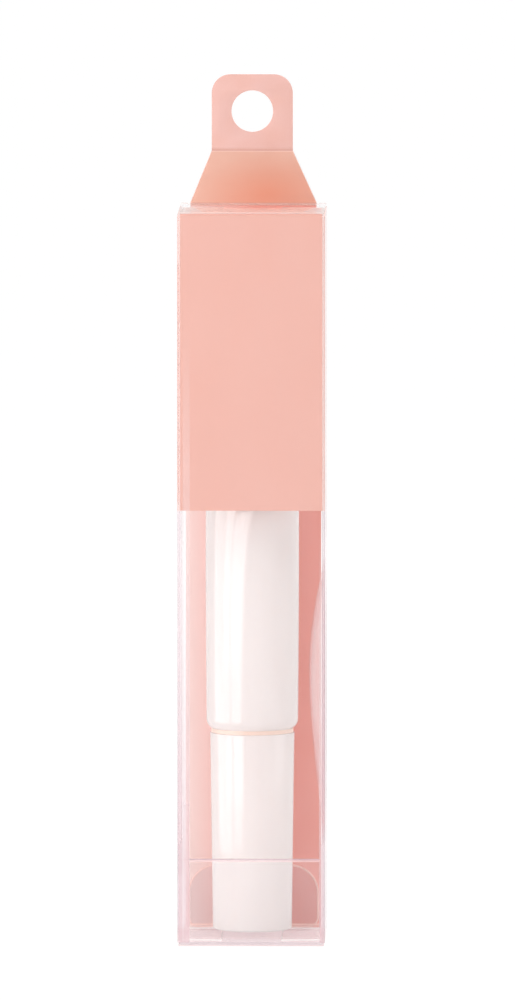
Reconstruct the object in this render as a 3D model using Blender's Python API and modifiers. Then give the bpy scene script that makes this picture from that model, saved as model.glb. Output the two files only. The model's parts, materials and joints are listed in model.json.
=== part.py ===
"""A soft tube of cuticle oil with a brush tip, packed in a clear carton that hangs.

The tube stands on its cap inside a folded carton of clear sheet. A pink card stands behind
the tube, comes out beside the lid and ends in a hanger with a round hole. Both lids have a
tuck flap: the upper lid turns on the back wall, the lower one on the front wall.

Units are metres and +Z is up. The front of the carton faces -Y, and the origin is the middle
of its underside.
"""

import math

import bmesh
import bpy
from mathutils import Vector

# The carton
CARTON_WIDTH = 0.026
CARTON_DEPTH = 0.026
CARTON_HEIGHT = 0.1295
SHEET = 0.0003
GAP = 0.0003
EDGE_RADIUS = 0.0006
GLUE_LAP_WIDTH = 0.008
GLUE_LAP_END_MARGIN = 0.010
PRINT_HEIGHT = 0.0526
PRINT_SIDE_MARGIN = 0.0002
PRINT_FILM = 0.0001

# The lids with their tuck flaps, and the dust flaps between the lids and the tube
LID_INSET = 0.00015
TUCK_HEIGHT = 0.0118
TUCK_SIDE_MARGIN = 0.0011
TUCK_CORNER = 0.0050
TUCK_ROOT_CORNER = 0.0018
TUCK_SWING_GAP = 0.00095
CREASE_GAP = 0.0004
DUST_FLAP_LENGTH = 0.0072
DUST_FLAP_TAPER = 0.0008
DUST_FLAP_END_GAP = 0.0007

# The card and its hanger
CARD_SIDE_GAP = 0.0007
NECK_BASE_WIDTH = 0.0223
NECK_RISE = 0.0103
NECK_LEAN = 0.0130
NECK_SLOT_GAP = 0.00045
NECK_SLOT_DEPTH = 0.0018
TAB_WIDTH = 0.0143
TAB_HEIGHT = 0.0134
TAB_CORNER = 0.0033
HANG_HOLE_RADIUS = 0.00365
HANG_HOLE_BELOW_TOP = 0.0065

# The folded rest that the cap stands on
REST_LIP_HEIGHT = 0.0142
REST_SIDE_GAP = 0.0007
REST_BEND_RADIUS = 0.0006

# The tube: a sleeve pinched flat at its upper end, and its shoulder at the lower end
TUBE_RADIUS = 0.0081
TUBE_WALL = 0.00045
TUBE_CORNER = 0.0020
SLEEVE_LENGTH = 0.0660
CRIMP_HEIGHT = 0.0040
CRIMP_THICKNESS = 0.0010
CRIMP_BORE = 0.0001
CRIMP_TURN = math.radians(-38)
CRIMP_EASE = 3.5
OIL_HEIGHT = 0.0435
SHOULDER_THICKNESS = 0.0011
NECK_TUBE_RADIUS = 0.0045
NECK_TUBE_BORE = 0.0034
NECK_TUBE_LENGTH = 0.0058
SNAP_BEAD = 0.0002
SNAP_BEAD_HEIGHT = 0.0008

# The brush
BRUSH_PLUG_LENGTH = 0.0050
BRUSH_FLANGE_RADIUS = 0.0044
BRUSH_FLANGE_THICKNESS = 0.0010
BRUSH_STEM_LENGTH = 0.0082
BRUSH_STEM_TOP_RADIUS = 0.0032
BRUSH_STEM_TIP_RADIUS = 0.0025
BRUSH_OIL_BORE = 0.0008
BRUSH_SOCKET_RADIUS = 0.0019
BRUSH_SOCKET_DEPTH = 0.0040
TUFT_ROOT_RADIUS = 0.0016
TUFT_FREE_LENGTH = 0.0085
TUFT_BELLY_RADIUS = 0.0020
TUFT_TIP_RADIUS = 0.0004

# The cap and the liner that grips the tube's neck
CAP_LENGTH = 0.0349
CAP_TOP_RADIUS = 0.00745
CAP_BASE_RADIUS = 0.0070
CAP_WALL = 0.0009
CAP_FLOOR = 0.0011
CAP_CORNER = 0.0007
CAP_TO_TUBE = 0.0004
LINER_BELOW_SEAT = 0.0090
LINER_STEM_CLEARANCE = 0.0004
LINER_NECK_CLEARANCE = 0.0005
LINER_TOP_INSET = 0.0004

ROUND_STEPS = 40
ARC_STEPS = 6

COLLECTION = "cuticle_oil_tube"
CUTTERS = "cutters"

# Heights, from the floor up
LOWER_FLAPS_Z = SHEET + GAP
REST_Z = LOWER_FLAPS_Z + SHEET + GAP
CAP_Z = REST_Z + SHEET + GAP
CAP_TOP_Z = CAP_Z + CAP_LENGTH
TUBE_Z = CAP_TOP_Z + CAP_TO_TUBE
UPPER_LID_Z = CARTON_HEIGHT - SHEET
UPPER_FLAPS_Z = UPPER_LID_Z - GAP - SHEET
WALL_TOP_Z = UPPER_LID_Z - GAP

# Depths, from the front to the back, and half widths
FRONT_Y = -CARTON_DEPTH / 2
BACK_Y = CARTON_DEPTH / 2
INNER_HALF_WIDTH = CARTON_WIDTH / 2 - SHEET
FRONT_INNER_Y = FRONT_Y + SHEET
BACK_INNER_Y = BACK_Y - SHEET
PRINT_Y = FRONT_INNER_Y + GAP + PRINT_FILM / 2
CARD_Y = BACK_INNER_Y - GAP - SHEET / 2
UPPER_TUCK_Y = PRINT_Y + PRINT_FILM / 2 + TUCK_SWING_GAP + SHEET / 2
LOWER_TUCK_Y = CARD_Y - SHEET / 2 - TUCK_SWING_GAP - SHEET / 2
LID_LENGTH = CARTON_DEPTH - LID_INSET
TUCK_HALF_WIDTH = INNER_HALF_WIDTH - TUCK_SIDE_MARGIN

UP_ON_EDGE = (math.pi / 2, 0, 0)


def srgb(red, green, blue):
    """A colour as Blender keeps it, from its red, green and blue between 0 and 255."""
    return tuple((part / 255) ** 2.2 for part in (red, green, blue))


def new_material(name, colour, roughness, metallic=0.0, alpha=1.0):
    """A plain material of one colour."""
    made = bpy.data.materials.new(name)
    made.use_nodes = True
    shader = made.node_tree.nodes["Principled BSDF"]
    shader.inputs["Base Color"].default_value = (*colour, 1.0)
    shader.inputs["Roughness"].default_value = roughness
    shader.inputs["Metallic"].default_value = metallic
    shader.inputs["Alpha"].default_value = alpha
    made.diffuse_color = (*colour, alpha)
    return made


def arc(centre, radius, start, end, steps=ARC_STEPS):
    """Points of an arc round a centre, from one angle in degrees to another."""
    turns = [math.radians(start + (end - start) * i / steps) for i in range(steps + 1)]
    return [
        (centre[0] + radius * math.cos(turn), centre[1] + radius * math.sin(turn))
        for turn in turns
    ]


def circle(centre, radius, steps=ROUND_STEPS):
    """Points of a whole circle."""
    return arc(centre, radius, 0, 360 * (steps - 1) / steps, steps - 1)


def rectangle(low_x, low_y, high_x, high_y):
    """The four corners of a rectangle."""
    return [(low_x, low_y), (high_x, low_y), (high_x, high_y), (low_x, high_y)]


def rounded_rectangle(half_width, low_y, high_y, low_radius, high_radius):
    """A rectangle that is even about x = 0, with one radius at each end."""
    right_low = arc((half_width - low_radius, low_y + low_radius), low_radius, -90, 0)
    right_high = arc((half_width - high_radius, high_y - high_radius), high_radius, 0, 90)
    right = right_low + right_high
    return right + [(-x, y) for x, y in reversed(right)]


def finished(name, mesh, material, location=(0, 0, 0), rotation=(0, 0, 0)):
    """The object of a sub-part, shaded smooth over its round faces."""
    mesh.name = name
    mesh.materials.append(material)
    mesh.shade_smooth()
    mesh.set_sharp_from_angle(angle=math.radians(30))
    made = bpy.data.objects.new(name, mesh)
    made.location = location
    made.rotation_euler = rotation
    bpy.data.collections[COLLECTION].objects.link(made)
    return made


def outline_mesh(loops, depth, fill):
    """Outlines in the XY plane drawn out evenly about z = 0: a slab with holes where fill is
    BOTH, and an open wall where it is NONE."""
    curve = bpy.data.curves.new("outline", "CURVE")
    curve.dimensions = "2D"
    curve.fill_mode = fill
    curve.extrude = depth / 2
    for loop in loops:
        spline = curve.splines.new("POLY")
        spline.points.add(len(loop) - 1)
        for point, (x, y) in zip(spline.points, loop):
            point.co = (x, y, 0, 1)
        spline.use_cyclic_u = True
    outline = bpy.data.objects.new("outline", curve)
    bpy.context.scene.collection.objects.link(outline)
    graph = bpy.context.evaluated_depsgraph_get()
    mesh = bpy.data.meshes.new_from_object(outline.evaluated_get(graph))
    bpy.data.objects.remove(outline)
    bpy.data.curves.remove(curve)
    shape = bmesh.new()
    shape.from_mesh(mesh)
    bmesh.ops.remove_doubles(shape, verts=shape.verts, dist=1e-6)
    bmesh.ops.recalc_face_normals(shape, faces=shape.faces)
    shape.to_mesh(mesh)
    shape.free()
    mesh.materials.clear()
    return mesh


def sheet_part(name, loops, material, location=(0, 0, 0), rotation=(0, 0, 0), thickness=SHEET):
    """A piece cut from flat sheet."""
    mesh = outline_mesh(loops, thickness, "BOTH")
    return finished(name, mesh, material, location, rotation)


def turned_part(name, profile, material, steps=ROUND_STEPS):
    """A turned piece. Its profile is a closed loop of (radius, height) that runs down its
    outer side first, or an open line whose two ends lie on the axis."""
    mesh = bpy.data.meshes.new(name)
    shape = bmesh.new()
    points = [shape.verts.new((radius, 0, height)) for radius, height in profile]
    for start, end in zip(points, points[1:]):
        shape.edges.new((start, end))
    if profile[0][0] > 0:
        shape.edges.new((points[-1], points[0]))
    shape.to_mesh(mesh)
    shape.free()
    made = finished(name, mesh, material)
    screw = made.modifiers.new("turn", "SCREW")
    screw.axis = "Z"
    screw.steps = steps
    screw.render_steps = steps
    screw.use_merge_vertices = True
    screw.merge_threshold = 1e-6
    screw.use_smooth_shade = True
    return made


def union(made, addition):
    """Joins a helper solid to a piece, and hides the helper among the cutters."""
    addition.hide_render = True
    addition.display_type = "WIRE"
    bpy.data.collections[COLLECTION].objects.unlink(addition)
    bpy.data.collections[CUTTERS].objects.link(addition)
    join = made.modifiers.new("join", "BOOLEAN")
    join.operation = "UNION"
    join.solver = "EXACT"
    join.object = addition


def attach(child, parent):
    """Parents a piece to another, which leaves it where it is."""
    bpy.context.view_layer.update()
    child.parent = parent
    child.matrix_parent_inverse = parent.matrix_world.inverted()


def start_scene():
    """Clears the scene and makes the two collections."""
    for old in list(bpy.data.objects):
        bpy.data.objects.remove(old)
    for name in (COLLECTION, CUTTERS):
        made = bpy.data.collections.new(name)
        bpy.context.scene.collection.children.link(made)


def carton_sleeve(clear):
    """The four walls, with the lap that closes the tube of sheet inside its left wall."""
    walls_height = WALL_TOP_Z - LOWER_FLAPS_Z
    middle = (WALL_TOP_Z + LOWER_FLAPS_Z) / 2
    outline = rounded_rectangle(CARTON_WIDTH / 2, FRONT_Y, BACK_Y, EDGE_RADIUS, EDGE_RADIUS)
    mesh = outline_mesh([outline], walls_height, "NONE")
    sleeve = finished("carton_sleeve", mesh, clear, (0, 0, middle))
    wall = sleeve.modifiers.new("wall", "SOLIDIFY")
    wall.thickness = SHEET
    wall.offset = -1
    wall.use_even_offset = True
    lap_back = BACK_INNER_Y - GLUE_LAP_WIDTH / 8
    lap = rectangle(
        -INNER_HALF_WIDTH - SHEET / 2, lap_back - GLUE_LAP_WIDTH, -INNER_HALF_WIDTH + SHEET, lap_back
    )
    lap_height = walls_height - 2 * GLUE_LAP_END_MARGIN
    union(sleeve, sheet_part("glue_lap", [lap], clear, (0, 0, middle), thickness=lap_height))


def print_panel(ink):
    """The printed film behind the upper part of the front wall."""
    half_width = INNER_HALF_WIDTH - PRINT_SIDE_MARGIN
    top = WALL_TOP_Z - GAP
    outline = rectangle(-half_width, CARTON_HEIGHT - PRINT_HEIGHT, half_width, top)
    sheet_part("front_print_film", [outline], ink, (0, PRINT_Y, 0), UP_ON_EDGE, PRINT_FILM)


def tuck_outline():
    """A tuck flap, from its crease at y = 0, with its round corners and drawn-in root."""
    return rounded_rectangle(
        TUCK_HALF_WIDTH, SHEET / 2 + CREASE_GAP, TUCK_HEIGHT, TUCK_ROOT_CORNER, TUCK_CORNER
    )


def lower_lid(clear):
    """The lid under the carton. It turns on the front wall and its flap tucks in at the back."""
    hinge = (0, FRONT_Y + SHEET / 2, SHEET / 2)
    half_width = CARTON_WIDTH / 2 - LID_INSET
    outline = rectangle(-half_width, -SHEET / 2, half_width, LID_LENGTH - SHEET / 2)
    lid = sheet_part("bottom_lid", [outline], clear, hinge)
    crease = (0, LOWER_TUCK_Y, SHEET / 2)
    flap = sheet_part("bottom_tuck_flap", [tuck_outline()], clear, crease, UP_ON_EDGE)
    attach(flap, lid)


def upper_lid(clear):
    """The lid on top. It turns on the back wall, is slotted there for the card's neck, and its
    flap tucks in behind the front wall."""
    hinge = (0, BACK_Y - SHEET / 2, CARTON_HEIGHT - SHEET / 2)
    front = SHEET / 2 - LID_LENGTH
    half_width = CARTON_WIDTH / 2 - LID_INSET
    slot_half_width = NECK_BASE_WIDTH / 2 + NECK_SLOT_GAP
    slot_front = SHEET / 2 - NECK_SLOT_DEPTH
    right = [
        (half_width, front),
        (half_width, SHEET / 2),
        (slot_half_width, SHEET / 2),
        (slot_half_width, slot_front),
    ]
    outline = right + [(-x, y) for x, y in reversed(right)]
    lid = sheet_part("top_lid", [outline], clear, hinge)
    crease = (0, UPPER_TUCK_Y, CARTON_HEIGHT - SHEET / 2)
    flap = sheet_part("top_tuck_flap", [tuck_outline()], clear, crease, (-math.pi / 2, 0, 0))
    attach(flap, lid)


def dust_flaps(clear):
    """The two small flaps under each lid, folded in from the side walls."""
    root_y = -LOWER_TUCK_Y + SHEET / 2 + DUST_FLAP_END_GAP
    tip_y = root_y + DUST_FLAP_TAPER
    flap = [(0, root_y), (DUST_FLAP_LENGTH, tip_y), (DUST_FLAP_LENGTH, -tip_y), (0, -root_y)]
    hinge_x = INNER_HALF_WIDTH - GAP
    for end, height in (("bottom", LOWER_FLAPS_Z), ("top", UPPER_FLAPS_Z)):
        for side, sign, turn in (("left", -1, 0), ("right", 1, math.pi)):
            place = (sign * hinge_x, 0, height + SHEET / 2)
            sheet_part(f"{end}_dust_flap_{side}", [flap], clear, place, (0, 0, turn))


def card(pink):
    """The card behind the tube, and its hanger: a neck that leans forward over the lid, and an
    upright tab with the hole."""
    crease_z = CARTON_HEIGHT - SHEET / 2
    half_width = INNER_HALF_WIDTH - CARD_SIDE_GAP
    base_half = NECK_BASE_WIDTH / 2
    step_z = WALL_TOP_Z - GAP
    right = [(half_width, LOWER_FLAPS_Z), (half_width, step_z), (base_half, step_z), (base_half, crease_z)]
    outline = right + [(-x, y) for x, y in reversed(right)]
    back_card = sheet_part("back_card", [outline], pink, (0, CARD_Y, 0), UP_ON_EDGE)

    neck_length = math.hypot(NECK_RISE, NECK_LEAN)
    neck_start = SHEET / 2 + GAP
    right = [(base_half, neck_start), (TAB_WIDTH / 2, neck_length - GAP / 2)]
    outline = right + [(-x, y) for x, y in reversed(right)]
    tilt = math.pi - math.atan2(NECK_RISE, NECK_LEAN)
    neck = sheet_part("hanger_neck", [outline], pink, (0, CARD_Y, crease_z), (tilt, 0, 0))
    attach(neck, back_card)

    tab_crease = (0, CARD_Y - NECK_LEAN, crease_z + NECK_RISE)
    outline = rounded_rectangle(TAB_WIDTH / 2, SHEET / 2 + GAP / 2, TAB_HEIGHT, GAP, TAB_CORNER)
    hole = circle((0, TAB_HEIGHT - HANG_HOLE_BELOW_TOP), HANG_HOLE_RADIUS)
    tab = sheet_part("hanger_tab", [outline, hole], pink, tab_crease, UP_ON_EDGE)
    attach(tab, neck)


def tube_rest(clear):
    """The bent sheet that the cap stands on, with its lip behind the front wall."""
    front = FRONT_INNER_Y + GAP
    back = -(-LOWER_TUCK_Y + SHEET / 2 + DUST_FLAP_END_GAP)
    bend = (front + REST_BEND_RADIUS, REST_Z + REST_BEND_RADIUS)
    outside = arc(bend, REST_BEND_RADIUS, 180, 270)
    inside = arc(bend, REST_BEND_RADIUS - SHEET, 270, 180)
    top = REST_Z + REST_LIP_HEIGHT
    outline = [(front, top), *outside, (back, REST_Z), (back, REST_Z + SHEET), *inside, (front + SHEET, top)]
    width = 2 * (INNER_HALF_WIDTH - REST_SIDE_GAP)
    sheet_part("tube_rest", [outline], clear, (0, 0, 0), (math.pi / 2, 0, math.pi / 2), width)


def tube_section(radius, half_crimp, height, flatness):
    """A ring round the tube: a circle of the radius where flatness is 0, and where it is 1 the
    same sheet pressed flat. The distance round it hardly changes in between."""
    ring = []
    for i in range(ROUND_STEPS):
        turn = 2 * math.pi * i / ROUND_STEPS
        upper = math.sin(turn) >= 0
        along = math.pi / 2 - turn if upper else turn - 3 * math.pi / 2
        press = math.copysign(abs(math.sin(turn)) ** 0.5, math.sin(turn))
        x = (1 - flatness) * radius * math.cos(turn) + flatness * radius * along
        y = (1 - flatness) * radius * math.sin(turn) + flatness * half_crimp * press
        turned_x = x * math.cos(CRIMP_TURN) - y * math.sin(CRIMP_TURN)
        turned_y = x * math.sin(CRIMP_TURN) + y * math.cos(CRIMP_TURN)
        ring.append(Vector((turned_x, turned_y, height)))
    return ring


def flatness_at(height):
    """How far the sleeve is pressed flat at a height: 0 at its shoulder, 1 from the crimp up."""
    start = TUBE_Z + TUBE_CORNER
    end = TUBE_Z + SLEEVE_LENGTH - CRIMP_HEIGHT
    share = min(1.0, max(0.0, (height - start) / (end - start)))
    return share**CRIMP_EASE


def lofted_part(name, rings, material):
    """A solid through rings of as many points each, with a flat face at both ends."""
    mesh = bpy.data.meshes.new(name)
    shape = bmesh.new()
    rows = [[shape.verts.new(point) for point in ring] for ring in rings]
    shape.faces.new(rows[0])
    shape.faces.new(rows[-1])
    for lower, upper in zip(rows, rows[1:]):
        for i in range(len(lower)):
            after = (i + 1) % len(lower)
            shape.faces.new((lower[i], lower[after], upper[after], upper[i]))
    bmesh.ops.recalc_face_normals(shape, faces=shape.faces)
    shape.to_mesh(mesh)
    shape.free()
    return finished(name, mesh, material)


def sleeve_rings(inset, low, high, count):
    """Rings up the sleeve, moved in from its outer face by the inset."""
    half_crimp = max(CRIMP_THICKNESS / 2 - inset, CRIMP_BORE / 2)
    heights = [low + (high - low) * i / count for i in range(count + 1)]
    return [
        tube_section(TUBE_RADIUS - inset, half_crimp, height, flatness_at(height))
        for height in heights
    ]


def lip_rings(inset):
    """Rings from the edge of the sleeve's turned-in lip, out and round its lower corner."""
    radius = TUBE_CORNER - inset
    centre = (TUBE_RADIUS - TUBE_CORNER, TUBE_Z + TUBE_CORNER)
    lip_radius = NECK_TUBE_RADIUS + SNAP_BEAD + GAP
    profile = [(lip_radius, centre[1] - radius), *arc(centre, radius, 270, 360)[:-1]]
    return [tube_section(ring, 0, height, 0) for ring, height in profile]


def tube_sleeve(plastic):
    """The soft sleeve: one wall that turns in under the shoulder and is pinched flat on top."""
    low = TUBE_Z + TUBE_CORNER
    top = TUBE_Z + SLEEVE_LENGTH
    crimp = top - CRIMP_HEIGHT
    outer = lip_rings(0) + sleeve_rings(0, low, crimp, 20) + sleeve_rings(0, top, top, 1)[:1]
    inner = lip_rings(TUBE_WALL) + sleeve_rings(TUBE_WALL, low, crimp, 20)
    mesh = bpy.data.meshes.new("tube_sleeve")
    shape = bmesh.new()
    outer_rows = [[shape.verts.new(point) for point in ring] for ring in outer]
    inner_rows = [[shape.verts.new(point) for point in ring] for ring in inner]
    shape.faces.new(outer_rows[-1])
    shape.faces.new(inner_rows[-1])
    walls = list(zip(outer_rows, outer_rows[1:])) + list(zip(inner_rows, inner_rows[1:]))
    for lower, upper in walls + [(inner_rows[0], outer_rows[0])]:
        for i in range(ROUND_STEPS):
            after = (i + 1) % ROUND_STEPS
            shape.faces.new((lower[i], lower[after], upper[after], upper[i]))
    bmesh.ops.recalc_face_normals(shape, faces=shape.faces)
    shape.to_mesh(mesh)
    shape.free()
    return finished("tube_sleeve", mesh, plastic)


def tube_inside(plastic, oil, nylon, tube):
    """The shoulder with the neck, the brush and the oil. All of it goes with the sleeve."""
    shoulder_low = TUBE_Z + TUBE_WALL + GAP
    shoulder_top = shoulder_low + SHOULDER_THICKNESS
    neck_end = TUBE_Z - NECK_TUBE_LENGTH
    bead_z = neck_end + SNAP_BEAD_HEIGHT
    rim = TUBE_RADIUS - TUBE_CORNER
    shoulder = turned_part(
        "tube_shoulder",
        [
            (rim, shoulder_top),
            (rim, shoulder_low),
            (NECK_TUBE_RADIUS, shoulder_low),
            (NECK_TUBE_RADIUS, bead_z + 2 * SNAP_BEAD),
            (NECK_TUBE_RADIUS + SNAP_BEAD, bead_z),
            (NECK_TUBE_RADIUS, neck_end),
            (NECK_TUBE_BORE, neck_end),
            (NECK_TUBE_BORE, shoulder_top),
        ],
        plastic,
    )

    flange_top = neck_end - GAP
    flange_low = flange_top - BRUSH_FLANGE_THICKNESS
    stem_end = flange_low - BRUSH_STEM_LENGTH
    socket_top = stem_end + BRUSH_SOCKET_DEPTH
    plug_radius = NECK_TUBE_BORE - GAP
    holder = turned_part(
        "brush_holder",
        [
            (plug_radius, flange_top + BRUSH_PLUG_LENGTH),
            (plug_radius, flange_top),
            (BRUSH_FLANGE_RADIUS, flange_top),
            (BRUSH_FLANGE_RADIUS, flange_low),
            (BRUSH_STEM_TOP_RADIUS, flange_low),
            (BRUSH_STEM_TIP_RADIUS, stem_end),
            (BRUSH_SOCKET_RADIUS, stem_end),
            (BRUSH_SOCKET_RADIUS, socket_top),
            (BRUSH_OIL_BORE, socket_top),
            (BRUSH_OIL_BORE, flange_top + BRUSH_PLUG_LENGTH),
        ],
        plastic,
    )

    tuft_top = socket_top - GAP
    belly_z = stem_end - TUFT_FREE_LENGTH * 0.35
    tip_z = stem_end - TUFT_FREE_LENGTH
    tuft = turned_part(
        "brush_tuft",
        [
            (0, tuft_top),
            (TUFT_ROOT_RADIUS, tuft_top),
            (TUFT_ROOT_RADIUS, stem_end),
            (TUFT_BELLY_RADIUS, belly_z),
            (TUFT_BELLY_RADIUS * 0.85, (belly_z + tip_z) / 2),
            (TUFT_TIP_RADIUS, tip_z),
            (0, tip_z),
        ],
        nylon,
        16,
    )

    oil_low = shoulder_top + GAP
    oil_rings = sleeve_rings(TUBE_WALL + GAP, oil_low + TUBE_CORNER, oil_low + OIL_HEIGHT, 12)
    foot = tube_section(rim, 0, oil_low, 0)
    fill = lofted_part("oil_fill", [foot, *oil_rings], oil)
    for piece in (shoulder, holder, tuft, fill):
        attach(piece, tube)


def cap_inner_radius(height):
    """The radius inside the tapered cap at a height."""
    share = (height - CAP_Z) / CAP_LENGTH
    return CAP_BASE_RADIUS + (CAP_TOP_RADIUS - CAP_BASE_RADIUS) * share - CAP_WALL


def cap(plastic):
    """The cap, a tapered cup that stands on its closed end, and the liner fixed inside it."""
    floor_z = CAP_Z + CAP_FLOOR
    corner = arc((CAP_BASE_RADIUS - CAP_CORNER, CAP_Z + CAP_CORNER), CAP_CORNER, 0, -90)
    shell = turned_part(
        "cap_shell",
        [
            (0, floor_z),
            (cap_inner_radius(floor_z), floor_z),
            (cap_inner_radius(CAP_TOP_Z), CAP_TOP_Z),
            (CAP_TOP_RADIUS, CAP_TOP_Z),
            *corner,
            (0, CAP_Z),
        ],
        plastic,
    )

    flange_low = TUBE_Z - NECK_TUBE_LENGTH - GAP - BRUSH_FLANGE_THICKNESS
    seat = flange_low - GAP
    liner_low = seat - LINER_BELOW_SEAT
    liner_top = CAP_TOP_Z - LINER_TOP_INSET
    neck_bore = NECK_TUBE_RADIUS + LINER_NECK_CLEARANCE
    stem_bore = BRUSH_STEM_TOP_RADIUS + LINER_STEM_CLEARANCE
    liner = turned_part(
        "cap_liner",
        [
            (cap_inner_radius(liner_top) - GAP, liner_top),
            (cap_inner_radius(liner_low) - GAP, liner_low),
            (stem_bore, liner_low),
            (stem_bore, seat),
            (neck_bore, seat),
            (neck_bore, liner_top),
        ],
        plastic,
    )
    attach(liner, shell)


def main():
    start_scene()
    clear = new_material("clear_sheet", srgb(232, 226, 236), 0.05, alpha=0.25)
    ink = new_material("pink_print", srgb(244, 184, 172), 0.35)
    pink = new_material("pink_card", srgb(240, 176, 162), 0.45)
    white = new_material("white_plastic", srgb(250, 246, 243), 0.25)
    inner_white = new_material("natural_plastic", srgb(238, 236, 230), 0.4)
    nylon = new_material("brush_nylon", srgb(246, 244, 238), 0.5)
    oil = new_material("oil", srgb(246, 214, 170), 0.1, alpha=0.6)
    carton_sleeve(clear)
    print_panel(ink)
    lower_lid(clear)
    upper_lid(clear)
    dust_flaps(clear)
    card(pink)
    tube_rest(clear)
    tube = tube_sleeve(white)
    tube_inside(inner_white, oil, nylon, tube)
    cap(white)


main()
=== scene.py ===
"""The looks of a cuticle oil tube that stands head down in its clear hanging carton.

Clear sheets, pink card, the soft tube, its cap and the brush are modelled here round the fixed
frame. Units are metres, +Z is up and the front of the carton faces -Y.
"""

import json
import math
import random

import bmesh
import bpy
from mathutils import Matrix, Vector


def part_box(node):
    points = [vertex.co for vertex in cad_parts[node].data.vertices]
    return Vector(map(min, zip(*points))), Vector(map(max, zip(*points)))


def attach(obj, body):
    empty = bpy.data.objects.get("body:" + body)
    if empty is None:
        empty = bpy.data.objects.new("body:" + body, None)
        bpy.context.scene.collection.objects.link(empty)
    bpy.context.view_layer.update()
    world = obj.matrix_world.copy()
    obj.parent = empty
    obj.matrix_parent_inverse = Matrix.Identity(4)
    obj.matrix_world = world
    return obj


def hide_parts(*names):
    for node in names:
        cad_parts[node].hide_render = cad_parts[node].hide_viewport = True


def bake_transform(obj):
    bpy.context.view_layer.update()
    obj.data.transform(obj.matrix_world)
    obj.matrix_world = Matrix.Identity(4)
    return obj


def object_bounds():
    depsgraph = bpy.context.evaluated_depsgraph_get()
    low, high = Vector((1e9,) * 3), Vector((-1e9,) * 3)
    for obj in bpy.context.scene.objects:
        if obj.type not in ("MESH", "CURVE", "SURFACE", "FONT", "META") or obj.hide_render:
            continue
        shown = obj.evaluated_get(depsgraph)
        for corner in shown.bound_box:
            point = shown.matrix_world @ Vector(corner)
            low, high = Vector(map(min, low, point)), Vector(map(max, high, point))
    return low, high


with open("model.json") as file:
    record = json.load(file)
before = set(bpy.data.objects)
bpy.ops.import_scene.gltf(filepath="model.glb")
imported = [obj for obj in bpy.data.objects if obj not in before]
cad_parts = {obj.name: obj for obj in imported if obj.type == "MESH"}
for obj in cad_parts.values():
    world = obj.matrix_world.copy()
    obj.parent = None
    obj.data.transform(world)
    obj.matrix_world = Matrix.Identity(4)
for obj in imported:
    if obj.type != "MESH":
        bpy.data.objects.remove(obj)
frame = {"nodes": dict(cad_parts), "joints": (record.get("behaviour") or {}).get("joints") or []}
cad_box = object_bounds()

MM = 0.001

# Within this distance a point counts as lying at a height, or on the axis
NEAR = 0.1 * MM
ON_AXIS = 0.0001 * MM

# The photograph's frame: its height at the object, its angles in degrees and where the lens looks
FRAME_HEIGHT = 175.7 * MM
CAMERA_DISTANCE = 3.0
CAMERA_AZIMUTH = 0.95
CAMERA_ELEVATION = 4.8
AIM_RIGHT = 1.12 * MM
AIM_HEIGHT = 78.85 * MM
SENSOR = 36.0

# Over this reach a printed or mirrored edge turns soft in the film's finish
SHARP = 0.1 * MM

# Sheet and card
SHEET = 0.3 * MM
FOLD_RADIUS = 0.25 * MM
CLEAR_EDGE_ROUND = 0.13 * MM
CARD_EDGE_ROUND = 0.05 * MM
WALL_STEPS_ACROSS = 10
WALL_STEPS_UP = 40
FOLD_STEPS = 4
WALL_BOW = 2.7 * MM
BOW_LOW = 13.0 * MM
BOW_HIGH = 67.0 * MM
BOW_SHAPE = 1.5
PRINT_TOP_GAP = 0.03 * MM
REST_BEND = 0.45 * MM
REST_LIP_BAND = 0.28 * MM
LAP_WIDTH = 8.0 * MM
LAP_FROM_BACK = 1.0 * MM
LAP_END_MARGIN = 10.0 * MM
TUCK_CORNER = 5.0 * MM
TUCK_ROOT_CORNER = 1.8 * MM
TAB_CORNER = 3.3 * MM
TAB_FOOT_CORNER = 0.3 * MM
TAB_FOLD_DROP = 0.3 * MM
HANG_HOLE_RADIUS = 3.65 * MM
HANG_HOLE_BELOW_TOP = 6.5 * MM
HANG_HOLE_STEPS = 72
NECK_FOOT_GAP = 0.45 * MM
NECK_TOP_GAP = 0.15 * MM
NECK_SLOT_GAP = 0.45 * MM
NECK_SLOT_DEPTH = 1.8 * MM
DUST_FLAP_TAPER = 0.8 * MM
CARD_FOLD = 0.55 * MM
FOLD_THINNING = 0.85
FOLD_TAIL = 0.1 * MM
DUST_FOLD_REACH = 0.39 * MM

# The tube and the cap
TUBE_WALL = 0.45 * MM
TUBE_CORNER = 2.0 * MM
TUBE_LIP_RADIUS = 5.0 * MM
TUBE_ROUND_HEIGHT = 3.0 * MM
TUBE_STEPS = 48
CRIMP_HEIGHT = 4.0 * MM
CRIMP_THICKNESS = 1.0 * MM
CRIMP_EASE = 4.0
TUBE_SPREAD = 0.02
CRIMP_RIB = 0.06 * MM
CRIMP_RIBS = 7
RIB_STEPS = 8
RIBBED_SHARE = (0.1, 0.95)
CAP_WALL = 0.9 * MM
CAP_FLOOR = 1.1 * MM
CAP_CORNER = 0.7 * MM
CAP_EDGE_ROUND = 0.35 * MM
CAP_MOUTH_ROUND = 0.15 * MM
CAP_FLOOR_ROUND = 0.8 * MM
CAP_FOOT_WIDTH = 1.2 * MM
CAP_FOOT_SLOPE = 0.3 * MM
CAP_FOOT_HEIGHT = 0.2 * MM
LINER_RIM_INSET = 0.2 * MM
LINER_RIM_GAP = 0.02 * MM

# The brush
BRISTLES = 260
BRISTLE_RADIUS = 0.055 * MM
BRISTLE_SIDES = 5
BRISTLE_STEPS = 8
BRISTLE_LEAN = 0.05 * MM
BRISTLE_UNEVEN = 0.5 * MM
BRISTLE_THINNING = 0.55
TUFT_ROOT = 0.72
TUFT_BELLY_REACH = 1.25
TUFT_POINT = 0.75
TUFT_TIP_ROUND = 0.12

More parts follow.
